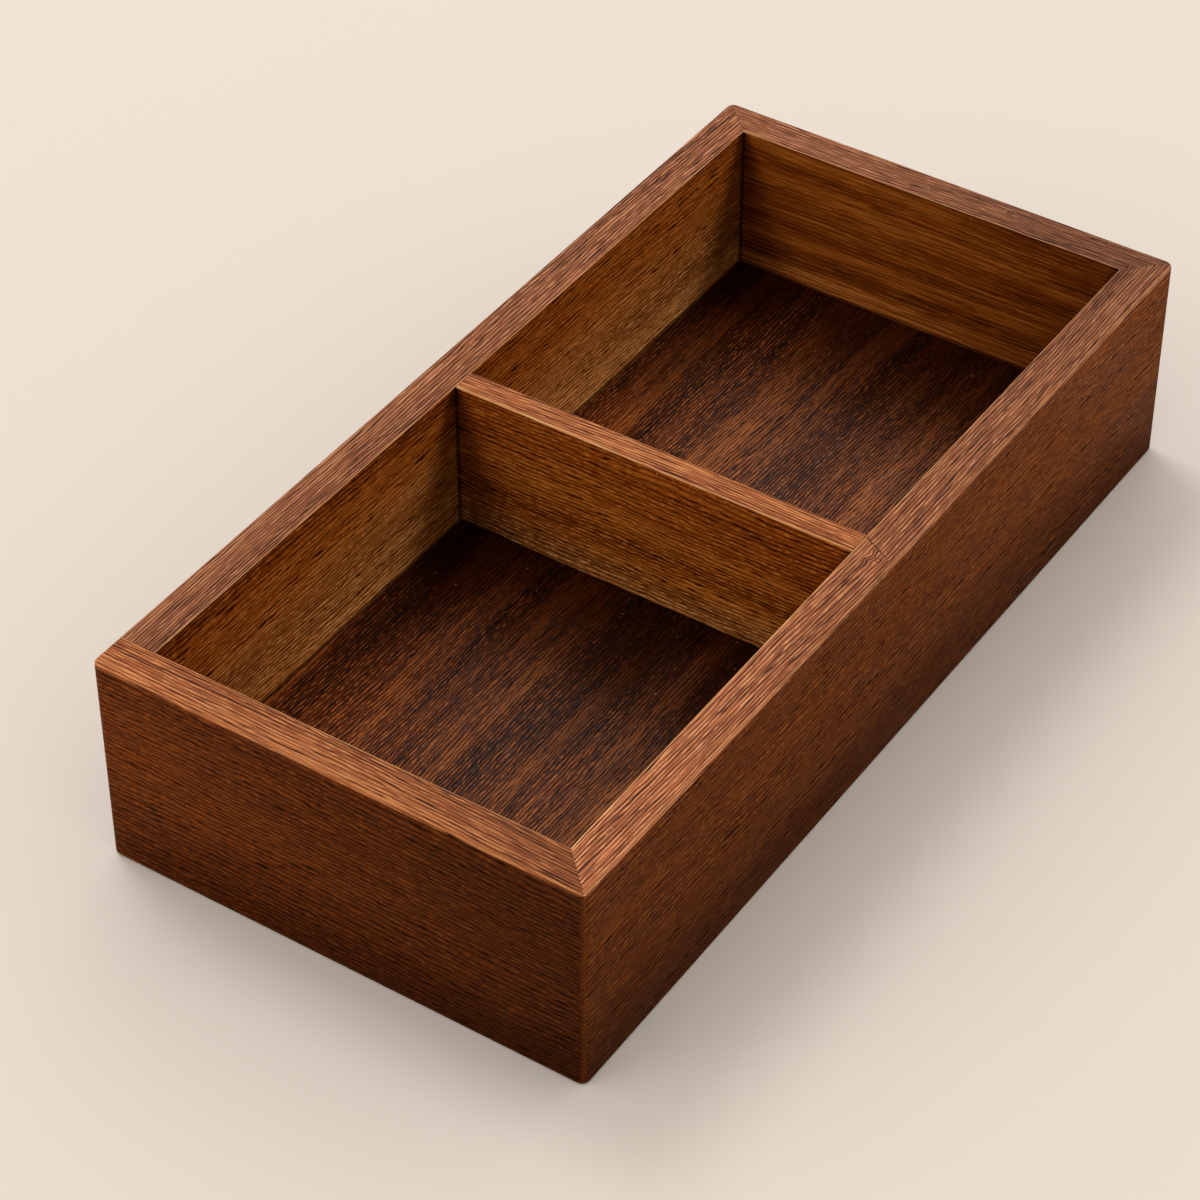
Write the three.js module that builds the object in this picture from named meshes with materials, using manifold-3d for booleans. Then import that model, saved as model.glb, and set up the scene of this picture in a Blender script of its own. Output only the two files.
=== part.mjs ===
// Divided wooden tray: four walls round a floating floor panel, with one fixed divider.
// Millimetres. X is the width, Y the length with the front wall at -Y, and Z is up.
// The tray stands on Z = 0, and the origin is under its middle.
import * as THREE from 'three';
import { mergeVertices } from 'three/addons/utils/BufferGeometryUtils.js';
import Module from 'manifold-3d';

const wasm = await Module();
wasm.setup();

// Overall size
const TRAY_WIDTH = 155;
const TRAY_LENGTH = 315;
const TRAY_HEIGHT = 70;

// Walls
const WALL = 12; // thickness of the four walls
const CORNER_RADIUS = 2.5; // upright outer corners
const WALL_EASE = 1.2; // rounding along the walls' long edges

// Divider, housed in the two long walls and trenched into the floor panel
const DIVIDER = 8; // thickness
const DIVIDER_SHIFT = -5; // its middle, from the middle of the tray towards the front
const DIVIDER_EASE = 0.8; // rounding along its two top edges
const HOUSING_DEPTH = 4; // how far it enters each long wall
const HOUSING_STOP = 10; // wood left between the housing and the rim
const TRENCH_DEPTH = 2; // how far its foot enters the floor panel

// Floor panel, held by a tongue in a groove that runs round the walls
const FLOOR_LEVEL = 21; // top face of the panel above the table
const FLOOR_THICKNESS = 10;
const TONGUE_THICKNESS = 5;
const GROOVE_DEPTH = 4;
const SWELL_ROOM = 0.6; // free depth in the groove, for the panel to swell
const SHADOW_GAP = 0.5; // thin dark line between the panel's face and the walls

// Splines, loose tongues driven into the corner joints from below
const SPLINE_THICKNESS = 3;
const SPLINE_WIDTH = 8; // across the joint, half of it in each wall
const SPLINE_STOP = 12; // wood left between the slot and the rim
const SPLINE_RECESS = 0.5; // the spline's foot above the table
const SPLINE_LEAD = 1; // chamfer at the end that goes in first

// Fits
const JOINT_GAP = 0.2; // glue line between joined faces
const OVERCUT = 5; // how far a cutting shape runs past the wood

// Steps of the rounded edges
const CORNER_STEPS = 5;
const EASE_STEPS = 4;

// Sizes that follow
const INNER_WIDTH = TRAY_WIDTH - 2 * WALL;
const INNER_LENGTH = TRAY_LENGTH - 2 * WALL;
const FLOOR_UNDERSIDE = FLOOR_LEVEL - FLOOR_THICKNESS;
const TONGUE_TOP = FLOOR_UNDERSIDE + TONGUE_THICKNESS;
const TONGUE_REACH = GROOVE_DEPTH - SWELL_ROOM;
const MITRE_SETBACK = JOINT_GAP / Math.SQRT2; // half the glue line, measured along the wall
const SOUND_WOOD = WALL - GROOVE_DEPTH; // wood left behind the groove
const SPLINE_SLOT_TOP = TRAY_HEIGHT - SPLINE_STOP;
const HOUSING_TOP = TRAY_HEIGHT - HOUSING_STOP;
const TRENCH_BOTTOM = FLOOR_LEVEL - TRENCH_DEPTH;

// Solids

function solid(geometry) {
  geometry.deleteAttribute('normal');
  geometry.deleteAttribute('uv');
  const merged = mergeVertices(geometry);
  return new wasm.Manifold(new wasm.Mesh({
    numProp: 3,
    vertProperties: new Float32Array(merged.attributes.position.array),
    triVerts: new Uint32Array(merged.index.array),
  }));
}

function outline(points) {
  return new THREE.Shape(points.map(([x, y]) => new THREE.Vector2(x, y)));
}

// A plan in X and Y, raised from one level to another
function raised(shape, bottom, top) {
  const geometry = new THREE.ExtrudeGeometry(shape, { depth: top - bottom, bevelEnabled: false });
  return solid(geometry.translate(0, 0, bottom));
}

// A section in Y and Z, run along X from start to end
function run(section, start, end) {
  const geometry = new THREE.ExtrudeGeometry(section, {
    depth: end - start,
    bevelEnabled: false,
    curveSegments: EASE_STEPS,
  });
  const sectionToRun = new THREE.Matrix4().set(
    0, 0, 1, start,
    1, 0, 0, 0,
    0, 1, 0, 0,
    0, 0, 0, 1,
  );
  return solid(geometry.applyMatrix4(sectionToRun));
}

function block(x0, x1, y0, y1, z0, z1) {
  return raised(outline([[x0, y0], [x1, y0], [x1, y1], [x0, y1]]), z0, z1);
}

function roundedRectangle(width, depth, radius) {
  const x = width / 2 - radius;
  const y = depth / 2 - radius;
  const shape = new THREE.Shape();
  shape.absarc(x, -y, radius, -Math.PI / 2, 0);
  shape.absarc(x, y, radius, 0, Math.PI / 2);
  shape.absarc(-x, y, radius, Math.PI / 2, Math.PI);
  shape.absarc(-x, -y, radius, Math.PI, 1.5 * Math.PI);
  return shape;
}

function mesh(name, body, colour, roughness) {
  const { vertProperties, triVerts } = body.getMesh();
  const geometry = new THREE.BufferGeometry();
  geometry.setAttribute('position', new THREE.BufferAttribute(vertProperties, 3));
  geometry.setIndex(new THREE.BufferAttribute(triVerts, 1));
  geometry.computeVertexNormals();
  const material = new THREE.MeshStandardMaterial({ color: colour, roughness, metalness: 0 });
  const piece = new THREE.Mesh(geometry, material);
  piece.name = name;
  return piece;
}

// Walls
// Each wall is drawn as seen from outside the tray: X runs along it from its left end to its
// right end, Y goes in from its outer face, and the tray's middle is at +Y.

// The tray's whole outer form in the wall's own frame, with every outer edge rounded
function outerForm(length, depth) {
  const shape = roundedRectangle(length, depth, CORNER_RADIUS);
  const geometry = new THREE.ExtrudeGeometry(shape, {
    depth: TRAY_HEIGHT - 2 * WALL_EASE,
    curveSegments: CORNER_STEPS,
    bevelThickness: WALL_EASE,
    bevelSize: WALL_EASE,
    bevelOffset: -WALL_EASE,
    bevelSegments: EASE_STEPS,
  });
  return solid(geometry.translate(0, depth / 2, WALL_EASE));
}

// The board's inner face with its two rounded edges; the outer faces come from the outer form
function innerFace() {
  const turn = WALL - WALL_EASE;
  const section = new THREE.Shape();
  section.moveTo(-OVERCUT, -OVERCUT);
  section.lineTo(turn, -OVERCUT);
  section.lineTo(turn, 0);
  section.absarc(turn, WALL_EASE, WALL_EASE, -Math.PI / 2, 0);
  section.absarc(turn, TRAY_HEIGHT - WALL_EASE, WALL_EASE, 0, Math.PI / 2);
  section.lineTo(turn, TRAY_HEIGHT + OVERCUT);
  section.lineTo(-OVERCUT, TRAY_HEIGHT + OVERCUT);
  return section;
}

// How each kind of end is cut. Distances run inwards from the tray's corner, along the wall.
const ENDS = {
  // Half of a mitre
  mitre: {
    cut: (y) => y + MITRE_SETBACK,
    grooveStart: -OVERCUT,
    slot: { along: WALL / 2, across: WALL / 2, turn: Math.PI / 4 },
  },
  // Runs through to the corner and covers the neighbour's end, so its groove stops short
  through: {
    cut: () => -OVERCUT,
    grooveStart: SOUND_WOOD,
    slot: { along: SOUND_WOOD / 2, across: WALL, turn: 0 },
  },
  // Square end against the neighbour's inner face
  square: {
    cut: () => WALL + JOINT_GAP,
    grooveStart: -OVERCUT,
    slot: { along: WALL, across: SOUND_WOOD / 2, turn: Math.PI / 2 },
  },
};

function splineSlot(x, y, turn) {
  const halfThickness = SPLINE_THICKNESS / 2 + JOINT_GAP;
  const halfWidth = SPLINE_WIDTH / 2 + JOINT_GAP;
  const plan = new THREE.Vector2();
  const middle = new THREE.Vector2();
  const corners = [[-1, -1], [1, -1], [1, 1], [-1, 1]].map(([across, along]) => {
    plan.set(across * halfThickness, along * halfWidth).rotateAround(middle, turn);
    return [x + plan.x, y + plan.y];
  });
  return raised(outline(corners), -OVERCUT, SPLINE_SLOT_TOP);
}

function wallBody(length, depth, leftEnd, rightEnd) {
  const left = ENDS[leftEnd];
  const right = ENDS[rightEnd];
  const end = length / 2;
  const inside = WALL + OVERCUT;
  const plan = outline([
    [-end + left.cut(-OVERCUT), -OVERCUT],
    [end - right.cut(-OVERCUT), -OVERCUT],
    [end - right.cut(inside), inside],
    [-end + left.cut(inside), inside],
  ]);
  const groove = block(
    -end + left.grooveStart,
    end - right.grooveStart,
    SOUND_WOOD,
    inside,
    FLOOR_UNDERSIDE - JOINT_GAP,
    TONGUE_TOP + JOINT_GAP,
  );
  return run(innerFace(), -end - OVERCUT, end + OVERCUT)
    .intersect(outerForm(length, depth))
    .intersect(raised(plan, -OVERCUT, TRAY_HEIGHT + OVERCUT))
    .subtract(groove)
    .subtract(splineSlot(-end + left.slot.along, left.slot.across, left.slot.turn))
    .subtract(splineSlot(end - right.slot.along, right.slot.across, -right.slot.turn));
}

// The stopped housing that takes one end of the divider
function dividerHousing(middle) {
  const halfWidth = DIVIDER / 2 + JOINT_GAP;
  return block(
    middle - halfWidth,
    middle + halfWidth,
    WALL - HOUSING_DEPTH,
    WALL + OVERCUT,
    TRENCH_BOTTOM,
    HOUSING_TOP,
  );
}

function buildWalls() {
  const front = mesh('front_wall', wallBody(TRAY_WIDTH, TRAY_LENGTH, 'through', 'mitre'), '#6a3c24', 0.5);
  front.position.set(0, -TRAY_LENGTH / 2, 0);

  const rightBody = wallBody(TRAY_LENGTH, TRAY_WIDTH, 'mitre', 'mitre');
  const right = mesh('right_wall', rightBody.subtract(dividerHousing(DIVIDER_SHIFT)), '#6f4027', 0.5);
  right.position.set(TRAY_WIDTH / 2, 0, 0);
  right.rotation.z = Math.PI / 2;

  const back = mesh('back_wall', wallBody(TRAY_WIDTH, TRAY_LENGTH, 'mitre', 'mitre'), '#683a22', 0.5);
  back.position.set(0, TRAY_LENGTH / 2, 0);
  back.rotation.z = Math.PI;

  const leftBody = wallBody(TRAY_LENGTH, TRAY_WIDTH, 'mitre', 'square');
  const left = mesh('left_wall', leftBody.subtract(dividerHousing(-DIVIDER_SHIFT)), '#6c3e25', 0.5);
  left.position.set(-TRAY_WIDTH / 2, 0, 0);
  left.rotation.z = -Math.PI / 2;

  const walls = new THREE.Group();
  walls.add(front, right, back, left);
  return walls;
}

// Corner splines
// Drawn upright on its foot: thin along X, and across the joint along Y.
function splineBody() {
  const half = SPLINE_WIDTH / 2;
  const length = SPLINE_SLOT_TOP - JOINT_GAP - SPLINE_RECESS;
  const face = outline([
    [-half, 0],
    [half, 0],
    [half, length - SPLINE_LEAD],
    [half - SPLINE_LEAD, length],
    [-half + SPLINE_LEAD, length],
    [-half, length - SPLINE_LEAD],
  ]);
  return run(face, -SPLINE_THICKNESS / 2, SPLINE_THICKNESS / 2);
}

function buildSplines() {
  const x = TRAY_WIDTH / 2 - WALL / 2;
  const y = TRAY_LENGTH / 2 - WALL / 2;
  const places = {
    spline_front_left: [-TRAY_WIDTH / 2 + SOUND_WOOD / 2, -TRAY_LENGTH / 2 + WALL, 0],
    spline_front_right: [x, -y, -Math.PI / 4],
    spline_back_right: [x, y, Math.PI / 4],
    spline_back_left: [-x, y, -Math.PI / 4],
  };
  const splines = new THREE.Group();
  splines.position.z = SPLINE_RECESS;
  for (const [name, [px, py, turn]] of Object.entries(places)) {
    const spline = mesh(name, splineBody(), '#a87446', 0.7);
    spline.position.set(px, py, 0);
    spline.rotation.z = turn;
    splines.add(spline);
  }
  return splines;
}

// Divider
// A board with rounded top edges, whose upper corners are notched where the housings stop.
function buildDivider() {
  const halfSpan = INNER_WIDTH / 2 - JOINT_GAP;
  const halfLength = INNER_WIDTH / 2 + HOUSING_DEPTH - JOINT_GAP;
  const half = DIVIDER / 2;
  const foot = TRENCH_BOTTOM + JOINT_GAP;
  const section = new THREE.Shape();
  section.moveTo(-half, foot);
  section.lineTo(half, foot);
  section.absarc(half - DIVIDER_EASE, TRAY_HEIGHT - DIVIDER_EASE, DIVIDER_EASE, 0, Math.PI / 2);
  section.absarc(-half + DIVIDER_EASE, TRAY_HEIGHT - DIVIDER_EASE, DIVIDER_EASE, Math.PI / 2, Math.PI);
  const notchFoot = HOUSING_TOP - JOINT_GAP;
  const notch = (inner, outer) => block(
    inner, outer, -half - OVERCUT, half + OVERCUT, notchFoot, TRAY_HEIGHT + OVERCUT,
  );
  const body = run(section, -halfLength, halfLength)
    .subtract(notch(halfSpan, halfLength + OVERCUT))
    .subtract(notch(-halfLength - OVERCUT, -halfSpan));
  const divider = mesh('divider', body, '#8a5a30', 0.5);
  divider.position.y = DIVIDER_SHIFT;
  return divider;
}

// Floor panel
// A panel rebated all round to leave a tongue, with a trench across it for the divider's foot.
// The tongue's corners are clipped by its own reach, which keeps them clear of the splines.
function buildFloorPanel() {
  const x = INNER_WIDTH / 2;
  const y = INNER_LENGTH / 2;
  const reach = TONGUE_REACH;
  const tongue = outline([
    [x, -y - reach],
    [x + reach, -y],
    [x + reach, y],
    [x, y + reach],
    [-x, y + reach],
    [-x - reach, y],
    [-x - reach, -y],
    [-x, -y - reach],
  ]);
  const fieldX = x - SHADOW_GAP;
  const fieldY = y - SHADOW_GAP;
  const field = block(-fieldX, fieldX, -fieldY, fieldY, FLOOR_UNDERSIDE, FLOOR_LEVEL);
  const halfTrench = DIVIDER / 2 + JOINT_GAP;
  const trench = block(
    -x,
    x,
    DIVIDER_SHIFT - halfTrench,
    DIVIDER_SHIFT + halfTrench,
    TRENCH_BOTTOM,
    FLOOR_LEVEL + OVERCUT,
  );
  const body = raised(tongue, FLOOR_UNDERSIDE, TONGUE_TOP).add(field).subtract(trench);
  return mesh('floor_panel', body, '#4c2a1c', 0.45);
}

const tray = new THREE.Group();
tray.add(buildWalls(), buildSplines(), buildDivider(), buildFloorPanel());

export default tray;
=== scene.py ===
"""A divided tray of stained, oiled wood: its boards and finishes, a plain floor, lights and a camera."""
import math

import bmesh
import bpy
from mathutils import Matrix, Vector, noise


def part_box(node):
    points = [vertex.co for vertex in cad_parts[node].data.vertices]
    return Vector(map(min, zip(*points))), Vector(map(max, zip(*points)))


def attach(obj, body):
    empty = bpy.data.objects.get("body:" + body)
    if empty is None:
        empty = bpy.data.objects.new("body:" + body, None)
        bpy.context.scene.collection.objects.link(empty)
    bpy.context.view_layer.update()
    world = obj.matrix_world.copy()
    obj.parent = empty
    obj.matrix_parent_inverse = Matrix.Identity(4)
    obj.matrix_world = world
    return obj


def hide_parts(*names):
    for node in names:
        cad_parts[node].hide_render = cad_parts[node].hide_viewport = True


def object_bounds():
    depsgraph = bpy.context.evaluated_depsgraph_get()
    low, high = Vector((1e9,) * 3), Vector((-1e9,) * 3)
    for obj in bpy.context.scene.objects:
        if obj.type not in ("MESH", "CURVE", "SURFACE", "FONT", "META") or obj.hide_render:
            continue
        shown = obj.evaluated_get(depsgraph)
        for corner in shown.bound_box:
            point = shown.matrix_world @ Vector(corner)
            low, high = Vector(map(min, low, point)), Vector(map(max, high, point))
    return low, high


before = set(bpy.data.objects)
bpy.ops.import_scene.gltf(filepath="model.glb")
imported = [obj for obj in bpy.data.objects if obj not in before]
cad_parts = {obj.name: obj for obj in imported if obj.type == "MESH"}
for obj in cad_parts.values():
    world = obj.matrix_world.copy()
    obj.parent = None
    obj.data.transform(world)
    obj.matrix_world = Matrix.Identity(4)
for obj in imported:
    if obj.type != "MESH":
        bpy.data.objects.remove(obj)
CAD_LOW, CAD_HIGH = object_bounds()

MM = 0.001
UP = Vector((0, 0, 1))

# Sizes read from the frame
FRONT_LOW, FRONT_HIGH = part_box("front_wall")
FLOOR_LOW, FLOOR_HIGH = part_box("floor_panel")
DIVIDER_LOW, DIVIDER_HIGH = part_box("divider")
DIVIDER_MIDDLE = (DIVIDER_LOW.y + DIVIDER_HIGH.y) / 2
SPLINE_LOW, SPLINE_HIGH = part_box("spline_front_left")
WALL = FRONT_HIGH.y - FRONT_LOW.y
RIM = CAD_HIGH.z
INNER_X = CAD_HIGH.x - WALL
INNER_Y = CAD_HIGH.y - WALL
FLOOR_TOP = FLOOR_HIGH.z

# Sizes of the boards' edges and joints
CORNER_RADIUS = 2.5 * MM
EDGE_RADIUS = 1.2 * MM
INNER_EDGE_RADIUS = 0.9 * MM
DIVIDER_EDGE_RADIUS = 0.6 * MM
FLOOR_EDGE_RADIUS = 0.35 * MM
CORNER_STEPS = 6
EDGE_STEPS = 4
FLOOR_EDGE_STEPS = 2
SMOOTH_ANGLE = math.radians(40)  # edges that turn more than this stay sharp
SEAM = 0.05 * MM  # open line left in a corner joint
BUTT_LINE = 0.12 * MM  # open line at each end of the divider's top
HOUSING_LINE = 0.25 * MM  # open line down each end of the divider
FIT = 0.2 * MM  # clearance round what is let into a board
TONGUE_THICKNESS = 5 * MM
SHADOW_GAP = 0.5 * MM
GROOVE_DEPTH = 4 * MM
HOUSING_STOP = 10 * MM
STATION = 2.5 * MM  # spacing of the cross lines along a board
PAST = 5 * MM  # how far a cutting box runs past the wood
NEAR = 1e-6  # points closer than this lie on the same plane
CUT_NEAR = 1e-7  # the same for a plane that cuts a board
LEVEL = 0.9  # how far a face or an edge turns along an axis before it counts as lying on it
LEAN = 0.15  # how far a face turns inward or up before it counts as part of an edge
UNDER_LEAN = 0.2  # how far a face turns down before it counts as underside

# Wear of the edges
WAVE_LENGTH = 14 * MM
WAVE_DEPTH = 0.03 * MM
NICK_LENGTH = 2.2 * MM
NICK_DEPTH = 0.25 * MM
NICK_LEVEL = 0.42  # higher leaves fewer nicks
WEAR_STOP = 5 * MM  # plain stretch at each end of a worn edge

# Grain, in millimetres along a board's grain axes
GROWTH_ACROSS = (0, 0.77, 0.64)  # direction across the layers of a year's growth
BEND_SIZE = (120, 30, 30)
BEND_REACH = (0, 5, 5)
RIPPLE_SIZE = (8, 3, 3)
DRIFT_SIZE = (70, 8, 8)
DRIFT = 2.5  # how far the spacing of the grooves drifts, in spacings
BAND_SIZE = (150, 8, 8)
GLOSS_SIZE = (40, 12, 12)
WEAR_HIGHLIGHT_SIZE = (9, 2, 2)
LIT_FOOT_SIZE = (60, 5, 5)
FAR_SHADOW_SIZE = (60, 14, 14)

# Finer grain, in line lengths along the fibres and spacings across them
RAGGED_SIZE = (0.7, 1.2)
FADE_SIZE = (0.4, 1.6)
RIDGE_HIGHLIGHT_SIZE = (0.25, 0.9)
LINE_SIZE = (1.2, 0.9)
THREAD_SIZE = (0.4, 0.5)

# Values of a pattern between which a mark fades in
FADE_RANGE = (0.34, 0.6)
RIDGE_HIGHLIGHT_RANGE = (0.42, 0.66)
RIDGE_RANGE = (0.26, 0.06)
FIBRE_RANGE = (0.36, 0.64)
BAND_RANGE = (0.33, 0.67)
TURN_RANGE = (0.95, 0.8)
WEAR_HIGHLIGHT_RANGE = (0.3, 0.6)
LIT_FOOT_RANGE = (0.35, 1.3)
FAR_SHADOW_RANGE = (0.45, 1.2)
PATCH_RANGE = (0.3, 0.7)
SHADE_RANGE_ALONG = (1.2, 0.4)
SHADE_RANGE_ACROSS = (1.2, 0.2)
SPECK_RANGE = (0.15, 0.07)
SPECK_CHANCE = (0.86, 0.93)

# Strengths of the marks
GROOVE_FLOOR = 0.46  # distance from a ridge at which a groove is at its darkest, in spacings
FAINT_GROOVE = 0.4  # strength of a groove where it has faded
THREAD_SHARE = 0.4  # part of the fibres' tone that comes from the threads
FIBRE_HEIGHT = 0.4  # height of a fibre as a part of a groove's depth
FAINT_WEAR_HIGHLIGHT = 0.35
LIT_FOOT_RAGGED = 0.7
FAR_SHADOW_RAGGED = 0.5

# Marks in the wood, and painted light and shade
SHADE_LINE_WIDTH = 1.0 * MM  # reach of the painted shade line in an inner corner
CORNER_SHADE = 3 * MM  # reach of the painted shadow from a far corner, at the rim
CORNER_SPREAD = 0.6  # how much further it reaches for each millimetre below the rim
CROSS_SHARE = 0.75  # its reach along the cross boards as a part of that along the side boards
SPECK_SPACING = 2.6 * MM
SHADED_BASE_HEIGHT = 38 * MM  # height of the painted shade at the base of the outer faces
LIT_LEFT_START = 10 * MM  # where the painted light on the floor starts, growing towards the left

# Pin knots in the top edges, and the turned and broken grain beside one of them
KNOT_PLACES = [Vector((73.2, -8.7)) * MM, Vector((24.6, 152.8)) * MM]
SWIRL_PLACE = Vector((70.6, -9.0)) * MM
SWIRL_TURN = 0.55
SLANT_ACROSS = (0.477, 0.879, 0)
SLANT_OFFSET = 29.68 * MM
SLANT_STOP = 1.5 * MM  # from the wall's outer face
SLANT_SOFT = 2 * MM

# The same figure's sizes in the grain's own millimetres
KNOT_RADIUS = 0.75
KNOT_LINE = (0.35, 0.1)
SWIRL_RANGE = (3.2, 0.3)
SLANT_LINE = (0.3, 0.1)
SLANT_FADE = 70.0
SLANT_JUMP = (0, 3.3, 2.1)

# Tints, by which a colour is multiplied
GROOVE_TINT = (0.5, 0.45, 0.42, 1)
# painted shadow in the far corners, and painted shade along the inner corners
CORNER_SHADOW_TINT = (0.36, 0.31, 0.2, 1)
LINE_SHADE_TINT = (0.35, 0.3, 0.26, 1)
KNOT_TINT = (0.3, 0.26, 0.24, 1)

# Surface of the wood
GRAIN_DEPTH = 0.12 * MM
GLOSS_CHANGE = 0.05
PORE_ROUGHNESS = 0.15
SPECK_STRENGTH = 0.45

# Camera, worked out from the tray's corners in the photograph
CAMERA_AIM = Vector((-2.4, -30.0, 35.0)) * MM
CAMERA_DISTANCE = 1060.7 * MM
CAMERA_AZIMUTH = 33.55
CAMERA_ELEVATION = 40.98
CAMERA_LENS = 113.69
SENSOR_WIDTH = 36
CAMERA_REACH = 50

# Table and light
TABLE_RADIUS = 4.0
TABLE_SIDES = 64
TABLE_ROUGHNESS = 0.8
TABLE_SPECULAR = 0.1
ROOM_COLOUR = (1.0, 0.965, 0.92, 1)
ROOM_STRENGTH = 0.8

BODY = "root"


# Shaping boards

def box_mesh(low, high):
    """A bmesh block between two corners."""
    bm = bmesh.new()
    fitted = Matrix.Translation((low + high) / 2) @ Matrix.Diagonal((*(high - low), 1))
    bmesh.ops.create_cube(bm, size=1, matrix=fitted)
    return bm


def round_edges(bm, edges, radius, steps):
    bmesh.ops.bevel(
        bm, geom=edges, offset=radius, offset_type="OFFSET", affect="EDGES",
        segments=steps, profile=0.5, material=-1,
    )


def saw(bm, point, off):
    """Cuts away what lies on the off side of a plane, and closes the cut."""
    geom = bm.verts[:] + bm.edges[:] + bm.faces[:]
    cut = bmesh.ops.bisect_plane(
        bm, geom=geom, dist=CUT_NEAR, plane_co=point, plane_no=off, clear_outer=True,
    )
    rim = [part for part in cut["geom_cut"] if isinstance(part, bmesh.types.BMEdge)]
    bmesh.ops.edgeloop_fill(bm, edges=rim)


def draw_line(bm, point, across):
    """Draws a line round a board where a plane meets it."""
    geom = bm.verts[:] + bm.edges[:] + bm.faces[:]
    bmesh.ops.bisect_plane(bm, geom=geom, dist=CUT_NEAR, plane_co=point, plane_no=across)


def score(bm, along, start, end):
    """Draws cross lines round a board, a station apart, so that its edges can be worn."""
    count = round((end - start) / STATION)
    for index in range(1, count):
        draw_line(bm, along * (start + (end - start) * index / count), along)


def wear_depth(distance, seed):
    """How much wood an edge has lost: slow waves and a few short nicks."""
    wave = 0.5 + 0.5 * noise.noise(Vector((distance / WAVE_LENGTH, seed, 0)))
    nick = max(0, noise.noise(Vector((distance / NICK_LENGTH, seed, 7))) - NICK_LEVEL)
    return WAVE_DEPTH * wave + NICK_DEPTH * nick


def wear_edges(bm, along, across, faces, radii, seed):
    """Wears the rounded top edges of a board that runs along one axis. across points from its first
    face to its second; faces and radii give where the two lie and how far their edges are rounded."""
    start = min(v.co.dot(along) for v in bm.verts) + WEAR_STOP
    end = max(v.co.dot(along) for v in bm.verts) - WEAR_STOP
    middle = sum(faces) / 2
    for vert in bm.verts:
        distance = vert.co.dot(along)
        place = vert.co.dot(across)
        side = 1 if place > middle else -1
        face, radius = (faces[1], radii[1]) if side > 0 else (faces[0], radii[0])
        reach = 1 - abs(face - place) / radius
        rise = 1 - (RIM - vert.co.z) / radius
        if reach <= 0 or rise <= 0 or not start < distance < end:
            continue
        fade = min(1, (distance - start) / WEAR_STOP, (end - distance) / WEAR_STOP)
        depth = wear_depth(distance, seed + 3 * side) * 2 * reach * rise * fade
        vert.co -= (across * side + UP).normalized() * depth


def new_piece(name, bm, finishes):
    """An object from a bmesh, with one material slot for each finish."""
    mesh = bpy.data.meshes.new(name)
    for finish in finishes.values():
        mesh.materials.append(finish)
    bmesh.ops.recalc_face_normals(bm, faces=bm.faces[:])
    bm.to_mesh(mesh)
    bm.free()
    piece = bpy.data.objects.new(name, mesh)
    bpy.context.scene.collection.objects.link(piece)
    return piece


def carve(piece, boxes):
    """Cuts boxes, given as (low corner, high corner, turn about their own upright), out of a piece."""
    for low, high, turn in boxes:
        middle = (low + high) / 2
        bm = box_mesh(low, high)
        bmesh.ops.rotate(bm, verts=bm.verts[:], cent=middle, matrix=Matrix.Rotation(turn, 3, "Z"))
        cutter = new_piece("cutter", bm, {})
        cut = piece.modifiers.new("cut", "BOOLEAN")
        cut.object = cutter
        cut.solver = "EXACT"
        depsgraph = bpy.context.evaluated_depsgraph_get()
        carved = bpy.data.meshes.new_from_object(piece.evaluated_get(depsgraph))
        piece.modifiers.clear()
        piece.data = carved
        bpy.data.objects.remove(cutter)
    piece.data.name = piece.name


def lay_grain(piece, board, along):
    """Gives a board its own grain axes, in millimetres: along the fibres, across them, and up.
    Its foot value falls from 1 at the tray's floor to 0 at the height where the pale foot ends; the
    pale foot is painted light. The tones of its faces and of its top edge change evenly from its
    first end to its last, and the tone of its faces also changes by its rise factor from the table to
    the rim, which is painted light and shade."""
    across = UP.cross(along)
    runs = [vert.co.dot(along) for vert in piece.data.vertices]
    start, length = min(runs), max(runs) - min(runs)
    attributes = piece.data.attributes
    attributes.new("grain", "FLOAT_VECTOR", "POINT")
    for name in ("foot", "tone", "edge_tone"):
        attributes.new(name, "FLOAT", "POINT")
    for vert, run in zip(piece.data.vertices, runs):
        level = vert.co.z + run * board["slope"]
        axes = Vector((run, vert.co.dot(across), level)) / MM + Vector(board["shift"])
        attributes["grain"].data[vert.index].vector = axes
        attributes["foot"].data[vert.index].value = 1 - (vert.co.z - FLOOR_TOP) / board["pale"]
        share = (run - start) / length
        height = vert.co.z / RIM
        for name, rise in (("tone", board["rise"]), ("edge_tone", 1)):
            first, last = board[name]
            tone = (first + (last - first) * share) * (1 + (rise - 1) * height)
            attributes[name].data[vert.index].value = tone


def mark_far_shadow(piece):
    """Gives the floor a value that rises from 0 to 1 towards the back of each compartment, where the
    floor carries painted shadow.
    """
    far = piece.data.attributes.new("far", "FLOAT", "POINT").data
    for vert, value in zip(piece.data.vertices, far):
        if vert.co.y < DIVIDER_MIDDLE:
            value.value = (vert.co.y + INNER_Y) / (DIVIDER_LOW.y + INNER_Y)
        else:
            value.value = (vert.co.y - DIVIDER_HIGH.y) / (INNER_Y - DIVIDER_HIGH.y)


def mark_finishes(bm, finishes, finish_of):
    """Gives each face the number of the finish that finish_of names for it."""
    names = list(finishes)
    for face in bm.faces:
        face.material_index = names.index(finish_of(face))


def smooth_edges(piece):
    """Shades the rounded edges smoothly and keeps the flat faces flat."""
    for polygon in piece.data.polygons:
        polygon.use_smooth = True
    piece.data.set_sharp_from_angle(angle=SMOOTH_ANGLE)
    weighted = piece.modifiers.new("even_faces", "WEIGHTED_NORMAL")
    weighted.keep_sharp = True


def seat(piece, node):
    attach(piece, BODY)
    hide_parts(node)


# Pieces

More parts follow.
